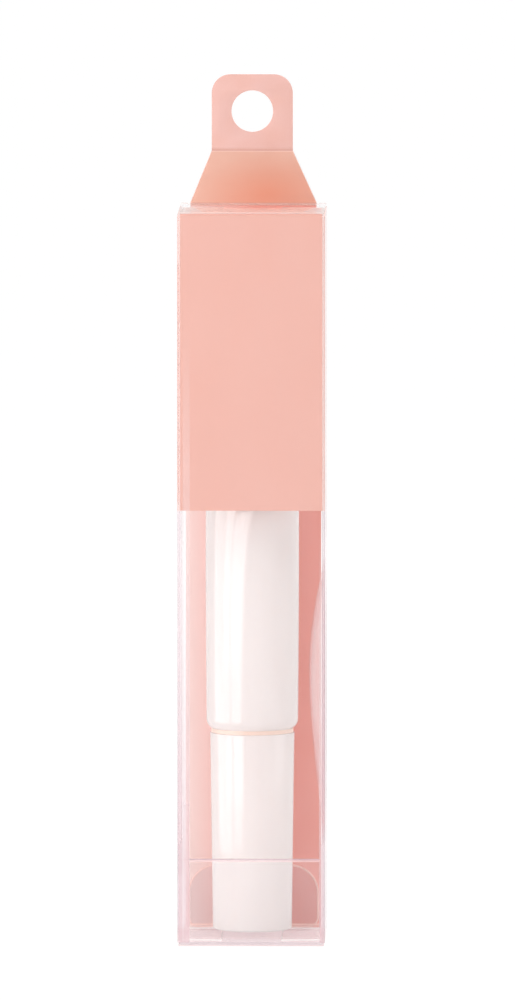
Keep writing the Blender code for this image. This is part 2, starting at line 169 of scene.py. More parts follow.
# The sides of what is round
ROUND_STEPS = 96

# Painted pink reflection on the walls low down, and painted light in the strip left of the card:
# the height where it is half there, and how far it fades both ways from that
PINK_HEIGHT = 40 * MM
PINK_FADE = 35 * MM
STRIP_HEIGHT = 60 * MM
STRIP_FADE = 50 * MM
STRIP_WIDTH = 1.2 * MM
LID_REFLECTION_FRONT = -0.5 * MM

# The floor and the light all round
FLOOR_SIZE = 24.0
FLOOR_GLOW = 1.045
FLOOR_GLOW_SHARE = 0.92
AMBIENT = 0.52
MIRRORED_WHITE = 0.3


def srgb(red, green, blue):
    """A colour as Blender keeps it, from its red, green and blue between 0 and 255."""
    parts = [part / 255 for part in (red, green, blue)]
    linear = [p / 12.92 if p <= 0.04045 else ((p + 0.055) / 1.055) ** 2.4 for p in parts]
    return (*linear, 1.0)


WHITE = (1, 1, 1, 1)


class Nodes:
    """Builds the nodes of one material, or of the world."""

    def __init__(self, name, world=False):
        self.owner = (bpy.data.worlds if world else bpy.data.materials).new(name)
        self.owner.use_nodes = True
        self.tree = self.owner.node_tree
        self.shader = self.tree.nodes["Background" if world else "Principled BSDF"]
        self.output = self.tree.nodes["World Output" if world else "Material Output"]
        self.place = None if world else self.add("ShaderNodeTexCoord").outputs["Object"]

    def add(self, kind, values=None, **settings):
        """A node with its settings, and each value set on its input or linked to it."""
        node = self.tree.nodes.new(kind)
        for key, value in settings.items():
            setattr(node, key, value)
        self.fill(node, values or {})
        return node

    def fill(self, node, values):
        """Sets or links inputs of a node."""
        for key, value in values.items():
            if isinstance(value, bpy.types.NodeSocket):
                self.tree.links.new(value, node.inputs[key])
            else:
                node.inputs[key].default_value = value

    def noise(self, size, stretch=(1, 1, 1), detail=3.0, rough=0.55):
        """Noise of a feature size in metres, from 0 to 1. A larger stretch packs it closer."""
        mapped = self.add("ShaderNodeMapping", {"Vector": self.place, "Scale": stretch})
        values = {"Vector": mapped.outputs[0], "Scale": 1 / size, "Detail": detail, "Roughness": rough}
        return self.add("ShaderNodeTexNoise", values).outputs[0]

    def span(self, value, low, high, from_low=0.3, from_high=0.7):
        """A value spread from one range to another."""
        values = {"From Min": from_low, "From Max": from_high, "To Min": low, "To Max": high}
        return self.add("ShaderNodeMapRange", {"Value": value, **values}).outputs[0]

    def math(self, operation, first, second=0.0):
        """A sum, product or the like of two values."""
        return self.add("ShaderNodeMath", {0: first, 1: second}, operation=operation).outputs[0]

    def axes(self):
        """The place's X, Y and Z as values."""
        return self.add("ShaderNodeSeparateXYZ", {"Vector": self.place}).outputs

    def colours(self, share, first, second):
        """The first colour where the share is 0, and the second where it is 1."""
        made = self.add("ShaderNodeMix", data_type="RGBA")
        self.fill(made, {"Factor": share, 6: first, 7: second})
        return made.outputs[2]

    def bump(self, height, distance, strength):
        """A normal from a height between 0 and 1."""
        values = {"Height": height, "Distance": distance, "Strength": strength}
        return self.add("ShaderNodeBump", values).outputs[0]

    def show(self, share, first, second):
        """Shows the first shader, and the second one over it by a share."""
        mix = self.add("ShaderNodeMixShader", {0: share, 1: first.outputs[0], 2: second.outputs[0]})
        self.tree.links.new(mix.outputs[0], self.output.inputs["Surface"])

    def finish(self, **values):
        """Sets the shader's inputs, written with _ for a space, and gives the material."""
        self.fill(self.shader, {key.replace("_", " "): value for key, value in values.items()})
        return self.owner


def see_through(nodes, share, tint=None):
    """Shows the shader by a share, and what is behind it by the rest. Shadow rays and diffuse
    rays go right through."""
    path = nodes.add("ShaderNodeLightPath").outputs
    passing = nodes.math("MAXIMUM", path["Is Shadow Ray"], path["Is Diffuse Ray"])
    lit = nodes.math("SUBTRACT", 1.0, passing)
    clear = nodes.add("ShaderNodeBsdfTransparent")
    if tint:
        nodes.fill(clear, {"Color": nodes.colours(lit, WHITE, tint)})
    nodes.show(nodes.math("MULTIPLY", share, lit), clear, nodes.shader)


def clear_sheet(name, steep_colour, steep_share, haze=0.03, tint=None, painted_pinks=(), steep_tint=None):
    """Clear film: hardly there from the front, and a pale veil of painted reflection seen along its
    face. A tint dims what is behind it, and a steep tint does so along the face only. It carries
    each of the painted pinks as (colour, share from the front, share along the face, limits): the
    pink that it mirrors of what lies beside it, and light on what lies behind it, both painted. A
    pink is there where every limit of (axis, value, reach) holds: above the value for a reach over
    0 and below it for one under 0, with a soft edge of the reach to both sides. The axis "side" is
    X counted both ways."""
    nodes = Nodes(name)
    facing = nodes.add("ShaderNodeLayerWeight", {"Blend": 0.5}).outputs["Facing"]
    steep = nodes.math("POWER", facing, 4.0)
    veil = nodes.span(nodes.noise(9 * MM, (1, 1, 0.4)), haze * 0.75, haze * 1.25)
    share = nodes.math("ADD", veil, nodes.math("MULTIPLY", steep, steep_share))
    # Painted reflection: the colour turns to the steep colour seen along the face
    colour = nodes.colours(steep, srgb(252, 248, 250), steep_colour)
    # Painted pinks: mirrored pink and light, painted into the film's colour
    for pink, flat_share, along_share, limits in painted_pinks:
        inside = within(nodes, limits)
        colour = nodes.colours(inside, colour, pink)
        shown = nodes.math("MULTIPLY", inside, nodes.span(steep, flat_share, along_share, 0.0, 0.8))
        share = nodes.math("ADD", share, shown)
    if steep_tint:
        tint = nodes.colours(steep, WHITE, steep_tint)
    see_through(nodes, nodes.math("MINIMUM", share, 1.0), tint)
    waves = nodes.noise(6 * MM, (1, 1, 0.5), 2.0)
    return nodes.finish(
        Base_Color=colour,
        Roughness=nodes.span(waves, 0.06, 0.1),
        Specular_IOR_Level=0.5,
    )


def within(nodes, limits):
    """1 where every limit of (axis, value, reach) holds, and 0 elsewhere."""
    axes = nodes.axes()
    inside = 1.0
    for axis, value, reach in limits:
        along = nodes.math("ABSOLUTE", axes["X"]) if axis == "side" else axes[axis]
        held = nodes.span(along, 0.0, 1.0, value - reach, value + reach)
        inside = nodes.math("MULTIPLY", held, inside)
    return inside


def clear_line(name, first, second, low_share, high_share, above=None):
    """A fold or a cut edge of the clear film, which gathers or bends the light, painted into its
    colour. Above a height, given as (height, colour), it takes on another colour: the painted pink
    of the print that it bends."""
    nodes = Nodes(name)
    see_through(nodes, nodes.span(nodes.noise(12 * MM), low_share, high_share))
    grain = nodes.noise(5 * MM)
    colour = nodes.colours(grain, first, second)
    if above:
        height, other = above
        colour = nodes.colours(within(nodes, [("Z", height, SHARP)]), colour, other)
    return nodes.finish(
        Base_Color=colour,
        Roughness=nodes.span(grain, 0.25, 0.4),
    )


def printed_film():
    """Pink ink on the film, flat and even, with the faint mottle of a print."""
    nodes = Nodes("pink_print_finish")
    mottle = nodes.noise(0.5 * MM, detail=6.0)
    cloud = nodes.noise(16 * MM, detail=1.0)
    fine = nodes.colours(mottle, srgb(226, 166, 151), srgb(227, 170, 157))
    return nodes.finish(
        Base_Color=nodes.colours(nodes.span(cloud, 0.0, 0.35), fine, srgb(228, 173, 160)),
        Roughness=nodes.span(mottle, 0.34, 0.44),
        Normal=nodes.bump(mottle, 0.004 * MM, 0.25),
    )


def pink_card(name, base, deep, glow=None, through=None):
    """Card printed pink: fine fibres under a soft satin ink. A glow is painted light: the ink turns
    to its colour towards a point, by a share that falls off over a distance. The glow's weights say
    how much X, Y and Z count in that distance. A painted glow, emission for light that comes
    through the card, has a strength that falls off to nothing from one height to another."""
    nodes = Nodes(name)
    fibres = nodes.noise(0.12 * MM, (1, 1, 0.3), 5.0, 0.65)
    cloud = nodes.noise(7 * MM, detail=2.0)
    ink = nodes.colours(nodes.span(cloud, 0.0, 1.0), base, deep)
    # Painted light: the ink turns towards the glow's colour near a point
    if glow:
        colour, point, reach, weights, strength = glow
        place = nodes.add("ShaderNodeVectorMath", {0: nodes.place, 1: weights}, operation="MULTIPLY")
        ends = {0: place.outputs[0], 1: point}
        away = nodes.add("ShaderNodeVectorMath", ends, operation="DISTANCE").outputs["Value"]
        ink = nodes.colours(nodes.span(away, strength, 0.0, 0.0, reach), ink, colour)
    # Painted glow: emission for light that comes through the card
    if through:
        bright, dark, strength = through
        light = nodes.span(nodes.axes()["Z"], strength, 0.0, bright, dark)
        nodes.finish(Emission_Color=ink, Emission_Strength=light)
    return nodes.finish(
        Base_Color=nodes.colours(nodes.span(fibres, 0.0, 0.08), ink, srgb(250, 222, 212)),
        Roughness=nodes.span(fibres, 0.42, 0.56),
        Normal=nodes.bump(fibres, 0.012 * MM, 0.35),
    )


def card_core():
    """The pale core of the card, seen at its cut edges."""
    nodes = Nodes("card_core_finish")
    layers = nodes.noise(0.06 * MM, detail=4.0)
    return nodes.finish(
        Base_Color=nodes.colours(layers, srgb(252, 226, 219), srgb(246, 204, 194)),
        Roughness=nodes.span(layers, 0.6, 0.8),
        Normal=nodes.bump(layers, 0.02 * MM, 0.5),
    )


def moulded(name, base, shade, low_rough, high_rough, wave, glow=0.0):
    """Pale moulded plastic with a faint flow mark and a soft, slightly uneven gloss. A glow is
    painted light, an emission that lifts the shade on it."""
    nodes = Nodes(name)
    flow = nodes.noise(5 * MM, (1, 1, 0.25), 2.0)
    peel = nodes.noise(0.35 * MM, detail=3.0)
    height = nodes.math("ADD", nodes.math("MULTIPLY", peel, 0.25), flow)
    return nodes.finish(
        Base_Color=nodes.colours(nodes.span(flow, 0.0, 1.0), base, shade),
        Emission_Color=base,
        Emission_Strength=glow,
        Roughness=nodes.span(peel, low_rough, high_rough),
        Normal=nodes.bump(height, wave, 0.3),
        Subsurface_Weight=0.12,
        Subsurface_Radius=(1.0, 0.8, 0.7),
        Subsurface_Scale=0.8 * MM,
    )


def nylon():
    """Bristles, now paler and now darker along their length."""
    nodes = Nodes("brush_nylon_finish")
    along = nodes.noise(0.4 * MM, (1, 1, 0.2))
    return nodes.finish(
        Base_Color=nodes.colours(along, srgb(236, 232, 222), srgb(252, 250, 244)),
        Roughness=nodes.span(along, 0.3, 0.5),
    )


def oil_finish():
    """Clear straw coloured oil."""
    nodes = Nodes("oil_finish")
    cloud = nodes.noise(4 * MM)
    return nodes.finish(
        Base_Color=nodes.colours(cloud, srgb(252, 226, 178), srgb(246, 206, 150)),
        Roughness=nodes.span(cloud, 0.02, 0.06),
        Transmission_Weight=0.85,
        IOR=1.46,
    )


def arc(centre, radius, start, end, steps=12):
    """Points of an arc round a centre, from one angle in degrees to another."""
    turns = [math.radians(start + (end - start) * i / steps) for i in range(steps + 1)]
    return [(centre[0] + radius * math.cos(t), centre[1] + radius * math.sin(t)) for t in turns]


def mirrored(right):
    """A closed outline from its right half, listed upwards."""
    return right + [(-x, y) for x, y in reversed(right)]


def rounded_rectangle(half_width, low, high, low_radius, high_radius):
    """A rectangle that is even about x = 0, with one radius at each end."""
    right = arc((half_width - low_radius, low + low_radius), low_radius, -90, 0)
    right += arc((half_width - high_radius, high - high_radius), high_radius, 0, 90)
    return mirrored(right)


def object_of(name, mesh, materials, angle=30):
    """A new piece of the scene, shaded smooth over edges up to the angle in degrees."""
    mesh.name = name
    for material in materials:
        mesh.materials.append(material)
    mesh.shade_smooth()
    mesh.set_sharp_from_angle(angle=math.radians(angle))
    made = bpy.data.objects.new(name, mesh)
    bpy.context.scene.collection.objects.link(made)
    return made


def piece_of(name, shape, materials, angle=30):
    """A new piece of the scene from a bmesh, which is freed."""
    bmesh.ops.recalc_face_normals(shape, faces=shape.faces)
    mesh = bpy.data.meshes.new(name)
    shape.to_mesh(mesh)
    shape.free()
    return object_of(name, mesh, materials, angle)


def curve_mesh(name, loops, extrude, rounding, flat=True):
    """A mesh from closed outlines in the XY plane: a plate, or a round bead along them."""
    curve = bpy.data.curves.new(name, "CURVE")
    curve.dimensions = "2D" if flat else "3D"
    curve.fill_mode = "BOTH" if flat else "FULL"
    curve.extrude = extrude
    curve.bevel_depth = rounding
    curve.bevel_resolution = 2
    curve.offset = -rounding if flat else 0.0
    for loop in loops:
        spline = curve.splines.new("POLY")
        spline.points.add(len(loop) - 1)
        for point, (x, y) in zip(spline.points, loop):
            point.co = (x, y, 0, 1)
        spline.use_cyclic_u = True
    outline = bpy.data.objects.new(name + "_outline", curve)
    bpy.context.scene.collection.objects.link(outline)
    graph = bpy.context.evaluated_depsgraph_get()
    mesh = bpy.data.meshes.new_from_object(outline.evaluated_get(graph))
    bpy.data.objects.remove(outline)
    bpy.data.curves.remove(curve)
    mesh.materials.clear()
    return mesh


def drawn_in(loop, inset):
    """An outline made smaller, so that each side of its box moves in by the inset."""
    across = [x for x, _ in loop]
    along = [y for _, y in loop]
    shrunk = []
    for x, y in loop:
        point = []
        for value, values in ((x, across), (y, along)):
            centre = (min(values) + max(values)) / 2
            half = (max(values) - min(values)) / 2
            point.append(centre + (value - centre) * (half - inset) / half)
        shrunk.append(tuple(point))
    return shrunk


def sheet(name, loops, thickness, place, materials, rounding=0.0, bead=False):
    """A flat piece cut from sheet. Its outlines lie in the XY plane, and its thickness is shared
    evenly to both sides of it. The place matrix sets it in the frame. The second material is the
    cut edge's, and a round bead along the edge widens that."""
    mesh = curve_mesh(name, loops, thickness / 2 - rounding, rounding)
    shape = bmesh.new()
    shape.from_mesh(mesh)
    bmesh.ops.remove_doubles(shape, verts=shape.verts, dist=1e-7)
    bmesh.ops.recalc_face_normals(shape, faces=shape.faces)
    for face in shape.faces:
        face.material_index = 0 if abs(face.normal.z) > 0.9 else 1
    if bead:
        known = set(shape.faces)
        drawn = [drawn_in(loop, thickness / 2) for loop in loops]
        rope = curve_mesh(name, drawn, 0.0, thickness / 2, False)
        shape.from_mesh(rope)
        bpy.data.meshes.remove(rope)
        for face in shape.faces:
            if face not in known:
                face.material_index = 1
    shape.to_mesh(mesh)
    shape.free()
    mesh.transform(place)
    return object_of(name, mesh, materials)


def swept_sheet(name, centres, thickness, axis, low, high, materials):
    """A bent sheet: a centre line of (across, up) drawn out along X or Y. Its skins take the first
    material and its cut faces the second. Each material after that goes to the skins of one of
    the line's first segments."""
    def point(across, up, along):
        return Vector((along, across, up)) if axis == "X" else Vector((across, along, up))

    profile = ribbon(centres, thickness)
    total = len(profile)
    last = len(centres) - 1
    shape = bmesh.new()
    rings = [[shape.verts.new(point(a, u, along)) for a, u in profile] for along in (low, high)]
    for i in range(total):
        after = (i + 1) % total
        face = shape.faces.new((rings[0][i], rings[0][after], rings[1][after], rings[1][i]))
        if i in (last, total - 1):
            face.material_index = 1
        elif min(i, total - 2 - i) < len(materials) - 2:
            face.material_index = 2 + min(i, total - 2 - i)
    for i in range(last):
        mirror = total - 1 - i
        for ring in rings:
            face = shape.faces.new((ring[i], ring[i + 1], ring[mirror - 1], ring[mirror]))
            face.material_index = 1
    return piece_of(name, shape, materials, 50)


def ribbon(centres, thickness):
    """A closed profile round a bent centre line: out along one side and back on the other."""
    sides = []
    for i, (x, y) in enumerate(centres):
        before = centres[max(0, i - 1)]
        after = centres[min(len(centres) - 1, i + 1)]
        along = Vector((after[0] - before[0], after[1] - before[1])).normalized()
        across = Vector((-along.y, along.x)) * thickness / 2
        sides.append(((x + across.x, y + across.y), (x - across.x, y - across.y)))
    return [one for one, _ in sides] + [other for _, other in reversed(sides)]


def turned(name, profile, materials):
    """A turned piece, from a profile of (radius, height). Ends on the axis close it, and other
    profiles are closed loops."""
    rings = []
    for radius, height in profile:
        steps = ROUND_STEPS if radius > ON_AXIS else 1
        rings.append([(x, y, height) for x, y in arc((0, 0), radius, 0, 360, steps)[:-1]])
    shape = bmesh.new()
    rows = skin(shape, rings)
    if profile[0][0] > ON_AXIS:
        join_rings(shape, rows[-1], rows[0])
    return piece_of(name, shape, materials)


def skin(shape, rings):
    """Rings of points joined one to the next. Gives each ring's new vertices."""
    rows = [[shape.verts.new(point) for point in ring] for ring in rings]
    for lower, upper in zip(rows, rows[1:]):
        join_rings(shape, lower, upper)
    return rows


def join_rings(shape, lower, upper):
    """Faces between two rings, one of which may be a single point."""
    steps = max(len(lower), len(upper))
    for i in range(steps):
        after = (i + 1) % steps
        if len(lower) == 1:
            shape.faces.new((lower[0], upper[after], upper[i]))
        elif len(upper) == 1:
            shape.faces.new((lower[i], lower[after], upper[0]))
        else:
            shape.faces.new((lower[i], lower[after], upper[after], upper[i]))


def upright(y, z, turned_down=False):
    """Sets an outline upright across the carton, with its y = 0 line at a depth and height."""
    turn = -math.pi / 2 if turned_down else math.pi / 2
    return Matrix.Translation((0, y, z)) @ Matrix.Rotation(turn, 4, "X")


def radius_near(node, low, high):
    """The largest distance from the axis among a node's points between two heights."""
    points = [v.co for v in frame["nodes"][node].data.vertices if low <= v.co.z <= high]
    return max(math.hypot(point.x, point.y) for point in points)


def tube_radius():
    """The radius of the tube's round lower end."""
    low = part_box("tube_sleeve")[0].z
    return radius_near("tube_sleeve", low, low + TUBE_ROUND_HEIGHT)


def cap_mouth():
    """The radius and the height of the cap's mouth."""
    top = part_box("cap_shell")[1].z
    return radius_near("cap_shell", top - NEAR, top), top


def stand_in(piece, node, body):
    """The piece takes a node's place on its body."""
    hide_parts(node)
    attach(piece, body)


def dress(node, material):
    """A node keeps its shape and gets a finish."""
    mesh = frame["nodes"][node].data
    mesh.materials.clear()
    mesh.materials.append(material)


def wall_bow(x, y, z):
    """How far the thin right wall bows inwards at a point of it, between its two folds."""
    inside = cad_box[1].y - FOLD_RADIUS
    on_right_wall = x > cad_box[1].x - NEAR and abs(y) < inside
    if not on_right_wall or not BOW_LOW < z < BOW_HIGH:
        return 0.0
    up = math.sin(math.pi * ((z - BOW_LOW) / (BOW_HIGH - BOW_LOW)) ** BOW_SHAPE)
    return WALL_BOW * up * math.cos(math.pi / 2 * y / inside) ** BOW_SHAPE


def wall_outline(half, front, back):
    """The walls' outline seen from above, as points that each have a material for the face after
    them: 0 for a flat wall, 1 for the front folds and 2 for the back ones."""
    bends = []
    corners = [(half, front, -90), (half, back, 0), (-half, back, 90), (-half, front, 180)]
    for x, y, start in corners:
        centre = (x - math.copysign(FOLD_RADIUS, x), y - math.copysign(FOLD_RADIUS, y))
        bends.append((arc(centre, FOLD_RADIUS, start, start + 90, FOLD_STEPS), 1 if y < 0 else 2))
    outline = []
    for i, (bend, finish) in enumerate(bends):
        outline += [(point, finish) for point in bend[:-1]]
        begin = Vector(bend[-1])
        end = Vector(bends[(i + 1) % len(bends)][0][0])
        steps = WALL_STEPS_ACROSS
        outline += [(tuple(begin.lerp(end, step / steps)), 0) for step in range(steps)]
    return outline


def carton_walls(sheet_finish, fold, faint_fold, rim):
    """The four walls as one folded sheet, with sharp folds and a slightly bowed right wall."""
    def band(first, second, finish=None):
        for i, (_, own_finish) in enumerate(outline):
            after = (i + 1) % len(outline)
            face = shape.faces.new((first[i], first[after], second[after], second[i]))
            face.material_index = own_finish if finish is None else finish

    low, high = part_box("carton_sleeve")
    half, front, back = high.x, low.y, high.y
    outline = wall_outline(half, front, back)
    heights = [low.z + (high.z - low.z) * i / WALL_STEPS_UP for i in range(WALL_STEPS_UP + 1)]
    shape = bmesh.new()
    skins = []
    for inset in (0.0, SHEET):
        rows = []
        for z in heights:
            row = []
            for (x, y), _ in outline:
                across = x * (half - inset) / half - wall_bow(x, y, z)
                row.append(shape.verts.new((across, y * (back - inset) / back, z)))
            rows.append(row)
        skins.append(rows)
    for rows in skins:
        for below, above in zip(rows, rows[1:]):
            band(below, above)
    for end in (0, -1):
        band(skins[0][end], skins[1][end], 3)
    walls = piece_of("carton_walls", shape, (sheet_finish, fold, faint_fold, rim), 35)
    stand_in(walls, "carton_sleeve", "carton")


def glue_lap(finish):
    """The lap of the sheet that is glued inside the left wall."""
    low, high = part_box("carton_sleeve")
    back = high.y - SHEET - LAP_FROM_BACK
    front = back - LAP_WIDTH
    bottom = low.z + LAP_END_MARGIN
    top = high.z - LAP_END_MARGIN
    outline = [(front, bottom), (back, bottom), (back, top), (front, top)]
    x = -high.x + 1.5 * SHEET
    place = Matrix(((0, 0, 1, x), (1, 0, 0, 0), (0, 1, 0, 0), (0, 0, 0, 1)))
    lap = sheet("glue_lap_sheet", [outline], SHEET, place, finish)
    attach(lap, "carton")


def lids(floor_finish, lid_finish):
    """The lower lid, and the upper one with its slot for the hanger's neck."""
    for node, finish in (("bottom_lid", floor_finish), ("top_lid", lid_finish)):
        low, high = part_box(node)
        right = [(high.x, low.y), (high.x, high.y)]
        if node == "top_lid":
            slot_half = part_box("hanger_neck")[1].x + NECK_SLOT_GAP
            right += [(slot_half, high.y), (slot_half, high.y - NECK_SLOT_DEPTH)]
        place = Matrix.Translation((0, 0, (low.z + high.z) / 2))
        piece = sheet(node + "_sheet", [mirrored(right)], SHEET, place, finish, CLEAR_EDGE_ROUND)
        stand_in(piece, node, node)


def tuck_flaps(tuck_finish, lid_finish):
    """The flaps at the lids' free edges. The lower one's round edge catches the light."""
    for end, finish in (("bottom", tuck_finish), ("top", lid_finish)):
        node = end + "_tuck_flap"
        down = end == "top"
        low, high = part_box(node)
        outline = rounded_rectangle(high.x, 0, high.z - low.z, TUCK_ROOT_CORNER, TUCK_CORNER)
        place = upright((low.y + high.y) / 2, high.z if down else low.z, down)
        piece = sheet(node + "_sheet", [outline], SHEET, place, finish, bead=not down)
        stand_in(piece, node, end + "_tuck")


def dust_flaps(dust_finish, lid_finish):
    """The four flaps that fold in under the lids. The lower two stay shut."""
    for end, finish in (("bottom", dust_finish), ("top", lid_finish)):
        for side in ("left", "right"):
            node = f"{end}_dust_flap_{side}"
            body = "carton" if end == "bottom" else f"dust_flap_{side}"
            low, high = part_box(node)
            root, tip = (high.x, low.x) if side == "right" else (low.x, high.x)
            narrow = high.y
            wide = narrow - DUST_FLAP_TAPER
            outline = [(root, -wide), (root, wide), (tip, narrow), (tip, -narrow)]
            place = Matrix.Translation((0, 0, (low.z + high.z) / 2))
            piece = sheet(node + "_sheet", [outline], SHEET, place, finish, bead=end == "bottom")
            stand_in(piece, node, body)


def print_piece(ink):
    """The printed block behind the front wall, up to the wall's upper edge."""
    low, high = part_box("front_print_film")
    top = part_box("top_lid")[0].z - PRINT_TOP_GAP
    right = [(high.x, 0), (high.x, top - low.z)]
    place = upright((low.y + high.y) / 2, low.z)
    piece = sheet("front_print_block", [mirrored(right)], high.y - low.y, place, (ink, ink))
    stand_in(piece, "front_print_film", "carton")


def bent_rest(finish):
    """The folded rest under the cap, with its lip behind the front wall. Two narrow bands at the
    lip's upper edge have finishes of their own: a painted dark line and a painted highlight."""
    low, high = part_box("tube_rest")
    front = low.y + SHEET / 2
    floor = low.z + SHEET / 2
    centres = [(front, high.z - REST_LIP_BAND * i) for i in range(3)]
    centres.append((front, floor + REST_BEND + MM))
    centres += arc((front + REST_BEND, floor + REST_BEND), REST_BEND, 180, 270, 8)
    centres.append((high.y, floor))
    piece = swept_sheet("tube_rest_sheet", centres, SHEET, "X", low.x, high.x, finish)
    stand_in(piece, "tube_rest", "carton")


def card_behind(finish):
    """The card behind the tube, which narrows to the hanger's neck at the wall's upper edge."""
    low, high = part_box("back_card")
    neck_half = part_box("hanger_neck")[1].x
    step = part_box("front_print_film")[1].z
    right = [(high.x, low.z), (high.x, step), (neck_half, step), (neck_half, high.z)]
    place = upright((low.y + high.y) / 2, 0)
    card = sheet("back_card_print", [mirrored(right)], SHEET, place, finish, CARD_EDGE_ROUND)
    stand_in(card, "back_card", "carton")


def hanger(neck_finish, tab_finish):
    """The sloping neck above the lid and the upright tab with the round hole."""
    card_low, card_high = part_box("back_card")
    low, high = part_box("hanger_tab")
    tab_y = (low.y + high.y) / 2
    start = Vector((0, (card_low.y + card_high.y) / 2, card_high.z))
    slope = Vector((0, tab_y, low.z - TAB_FOLD_DROP)) - start
    neck_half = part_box("hanger_neck")[1].x
    right = [(neck_half, NECK_FOOT_GAP), (high.x, slope.length - NECK_TOP_GAP)]
    tilt = math.atan2(slope.z, slope.y)
    place = Matrix.Translation(start) @ Matrix.Rotation(tilt, 4, "X")
    neck = sheet("hanger_neck_print", [mirrored(right)], SHEET, place, neck_finish, CARD_EDGE_ROUND)
    stand_in(neck, "hanger_neck", "neck")

    height = high.z - low.z
    outline = rounded_rectangle(high.x, 0, height, TAB_FOOT_CORNER, TAB_CORNER)
    centre = (0, height - HANG_HOLE_BELOW_TOP)
    hole = arc(centre, HANG_HOLE_RADIUS, 0, 360, HANG_HOLE_STEPS)[:-1]
    place = upright(tab_y, low.z)
    tab = sheet("hanger_tab_print", [outline, hole], SHEET, place, tab_finish, CARD_EDGE_ROUND)
    stand_in(tab, "hanger_tab", "tab")


def tube_ring(radius, half_crimp, height, flatness, turn):
    """A ring round the tube, from a circle at flatness 0 to the pressed sheet at 1."""
    ring = []
    cosine, sine = math.cos(turn), math.sin(turn)
    even = flatness**2
    wide = (1 - flatness) * radius + flatness * radius * math.pi / 2
    for i in range(ROUND_STEPS):
        angle = 2 * math.pi * i / ROUND_STEPS
        upper = math.sin(angle) >= 0
        along = math.pi / 2 - angle if upper else angle - 3 * math.pi / 2
        press = math.copysign(abs(math.sin(angle)) ** 0.5, math.sin(angle))
        x = wide * ((1 - even) * math.cos(angle) + even * along / (math.pi / 2))
        y = (1 - flatness) * radius * math.sin(angle) + flatness * half_crimp * press
        ring.append(Vector((x * cosine - y * sine, x * sine + y * cosine, height)))
    return ring


def sleeve_rings(inset, crimp, turn):
    """The rings of the tube's outer or inner skin, from its turned-in lip up to the seal."""
    radius = tube_radius()
    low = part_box("tube_sleeve")[0].z
    corner = TUBE_CORNER - inset
    start = low + TUBE_CORNER
    rings = [tube_ring(TUBE_LIP_RADIUS, 0, start - corner, 0, turn)]
    for across, height in arc((radius - TUBE_CORNER, start), corner, 270, 360, 10):
        rings.append(tube_ring(across, 0, height, 0, turn))
    for i in range(1, TUBE_STEPS + 1):
        share = i / TUBE_STEPS
        height = start + (crimp - start) * share
        wide = radius * (1 + TUBE_SPREAD * math.sin(math.pi * share)) - inset
        half = CRIMP_THICKNESS / 2 - inset
        rings.append(tube_ring(wide, half, height, share**CRIMP_EASE, turn))
    return rings


def seal_rings(crimp, turn):
    """The rings of the pressed seal, whose fine ribs leave its ends smooth."""
    rings = []
    radius = tube_radius()
    total = CRIMP_RIBS * RIB_STEPS
    first, last = RIBBED_SHARE
    for i in range(1, total + 1):
        share = i / total
        wave = 0.5 - 0.5 * math.cos(2 * math.pi * share * CRIMP_RIBS)
        half = CRIMP_THICKNESS / 2 - CRIMP_RIB * wave * (first < share < last)
        rings.append(tube_ring(radius, half, crimp + CRIMP_HEIGHT * share, 1.0, turn))
    return rings


def soft_tube(plastic):
    """The soft sleeve with its turned-in lip and its pressed seal."""
    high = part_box("tube_sleeve")[1]
    vertices = frame["nodes"]["tube_sleeve"].data.vertices
    far = max((v.co for v in vertices if v.co.z > high.z - MM / 2), key=lambda point: point.x)
    turn = math.atan2(far.y, far.x)
    crimp = high.z - CRIMP_HEIGHT
    shape = bmesh.new()
    outer = skin(shape, sleeve_rings(0.0, crimp, turn) + seal_rings(crimp, turn))
    inner = skin(shape, sleeve_rings(TUBE_WALL, crimp, turn))
    for last in (outer[-1], inner[-1]):
        for i in range(ROUND_STEPS // 2):
            corners = [last[i], last[i + 1], last[-i - 1], last[-i]]
            shape.faces.new(list(dict.fromkeys(corners)))
    join_rings(shape, inner[0], outer[0])
    piece = piece_of("tube_sleeve_soft", shape, [plastic], 40)
    stand_in(piece, "tube_sleeve", "tube")


def cap_piece(plastic):
    """The tapered cap, with soft rounds at its mouth and its closed end."""
    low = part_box("cap_shell")[0]
    mouth, top = cap_mouth()
    base = radius_near("cap_shell", low.z + CAP_CORNER - NEAR, low.z + CAP_CORNER + NEAR)
    taper = (mouth - base) / (top - low.z - CAP_CORNER)
    floor = low.z + CAP_FLOOR
    inner_floor = base - CAP_WALL + taper * (floor - low.z)
    inner_mouth = mouth - CAP_WALL
    turn = CAP_MOUTH_ROUND
    foot = base - CAP_FOOT_WIDTH
    recess = low.z + CAP_FOOT_HEIGHT
    profile = [
        (0, floor),
        *arc((inner_floor - CAP_FLOOR_ROUND, floor + CAP_FLOOR_ROUND), CAP_FLOOR_ROUND, 270, 360, 8),
        *arc((inner_mouth + turn, top - turn), turn, 180, 90, 5),
        *arc((mouth - turn, top - turn), turn, 90, 0, 5),
        *arc((base - CAP_EDGE_ROUND, low.z + CAP_EDGE_ROUND), CAP_EDGE_ROUND, 0, -90, 8),
        (foot, low.z),
        (foot - CAP_FOOT_SLOPE, recess),
        (0, recess),
    ]
    stand_in(turned("cap_shell_moulded", profile, [plastic]), "cap_shell", "cap")


